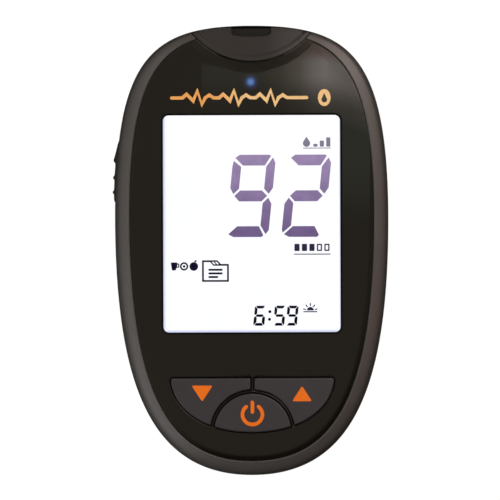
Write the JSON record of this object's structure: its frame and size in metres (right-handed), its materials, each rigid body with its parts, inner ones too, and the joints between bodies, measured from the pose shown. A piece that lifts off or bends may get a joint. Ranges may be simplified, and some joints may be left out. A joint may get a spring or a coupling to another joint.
{
  "type": "blood glucose meter",
  "caption": "Hand-held egg-shaped blood glucose meter: domed black lens with a lit display, keypad below it, strip port on top, side ejector and rear battery door.",
  "frame": {"origin": "centre of the rear base, on the plane it rests on when lying on its back", "axes": "+Z out through the face, +Y towards the test strip port, +X to the right as the display is read"},
  "size_m": [0.055, 0.0898, 0.018],
  "materials": {
    "bezel_grey": "satin",
    "cover_black": "matte",
    "lens_black": "gloss",
    "lens_clear": "gloss",
    "adhesive": "matte",
    "guide_black": "satin",
    "slider_black": "satin",
    "acetal_white": "satin",
    "spring_steel": "satin",
    "key_grey": "satin",
    "silicone": "matte",
    "cell_jacket": "satin",
    "lcd_glass": "gloss",
    "lcd_light": "satin",
    "film": "satin",
    "acrylic": "gloss",
    "board_green": "satin",
    "contact_gold": "satin",
    "led_blue": "gloss",
    "chip_black": "matte",
    "shield_tin": "satin",
    "ceramic_tan": "matte",
    "screw_steel": "satin"
  },
  "bodies": {
    "root": {"front_bezel": "bezel_grey", "rear_cover": "cover_black", "face_lens": "lens_black", "lens_window": "lens_clear", "lens_gasket": "adhesive", "port_cap": "bezel_grey", "strip_guide": "guide_black", "ejector_spring": "spring_steel", "keypad_mat": "silicone", "snap_domes": "spring_steel", "cell_left": "cell_jacket", "cell_right": "cell_jacket", "battery_springs": "spring_steel", "battery_plates": "spring_steel", "lcd_front_glass": "lcd_glass", "lcd_rear_glass": "lcd_glass", "front_polariser": "lcd_light", "rear_polariser": "film", "backlight_guide": "acrylic", "backlight_leds": "acrylic", "lcd_frame": "acetal_white", "zebra_strip": "silicone", "main_board": "board_green", "strip_connector": "guide_black", "strip_contacts": "contact_gold", "status_led": "led_blue", "light_pipe": "led_blue", "microcontroller": "chip_black", "radio_module": "shield_tin", "memory_chip": "chip_black", "clock_crystal": "shield_tin", "buzzer": "chip_black", "chip_capacitors": "ceramic_tan", "housing_screws": "screw_steel", "board_screws": "screw_steel"},
    "ejector": {"ejector_slider": "slider_black", "ejector_carriage": "slider_black"},
    "down_key": {"down_button": "key_grey"},
    "up_key": {"up_button": "key_grey"},
    "main_key": {"main_button": "key_grey"},
    "door": {"battery_door": "cover_black"}
  },
  "joints": [
    {"name": "down_press", "type": "slide", "parent": "root", "child": "down_key", "axis": [0, 0, -1], "range_m": [0, 0.00035], "stiffness_N_per_m": 1200, "springref_m": -0.0004, "deforming": ["keypad_mat", "snap_domes"]},
    {"name": "up_press", "type": "slide", "parent": "root", "child": "up_key", "axis": [0, 0, -1], "range_m": [0, 0.00035], "stiffness_N_per_m": 1200, "springref_m": -0.0004, "deforming": ["keypad_mat", "snap_domes"]},
    {"name": "main_press", "type": "slide", "parent": "root", "child": "main_key", "axis": [0, 0, -1], "range_m": [0, 0.00035], "stiffness_N_per_m": 1200, "springref_m": -0.0004, "deforming": ["keypad_mat", "snap_domes"]},
    {"name": "ejector_slide", "type": "slide", "parent": "root", "child": "ejector", "axis": [0.0993, 0.9951, 0], "range_m": [0, 0.0038], "stiffness_N_per_m": 100, "springref_m": -0.001, "deforming": ["ejector_spring"]},
    {"name": "door_hinge", "type": "hinge", "parent": "root", "child": "door", "pos_m": [0, -0.0327, 0.00022], "axis": [-1, 0, 0], "range_deg": [0, 70]}
  ]
}
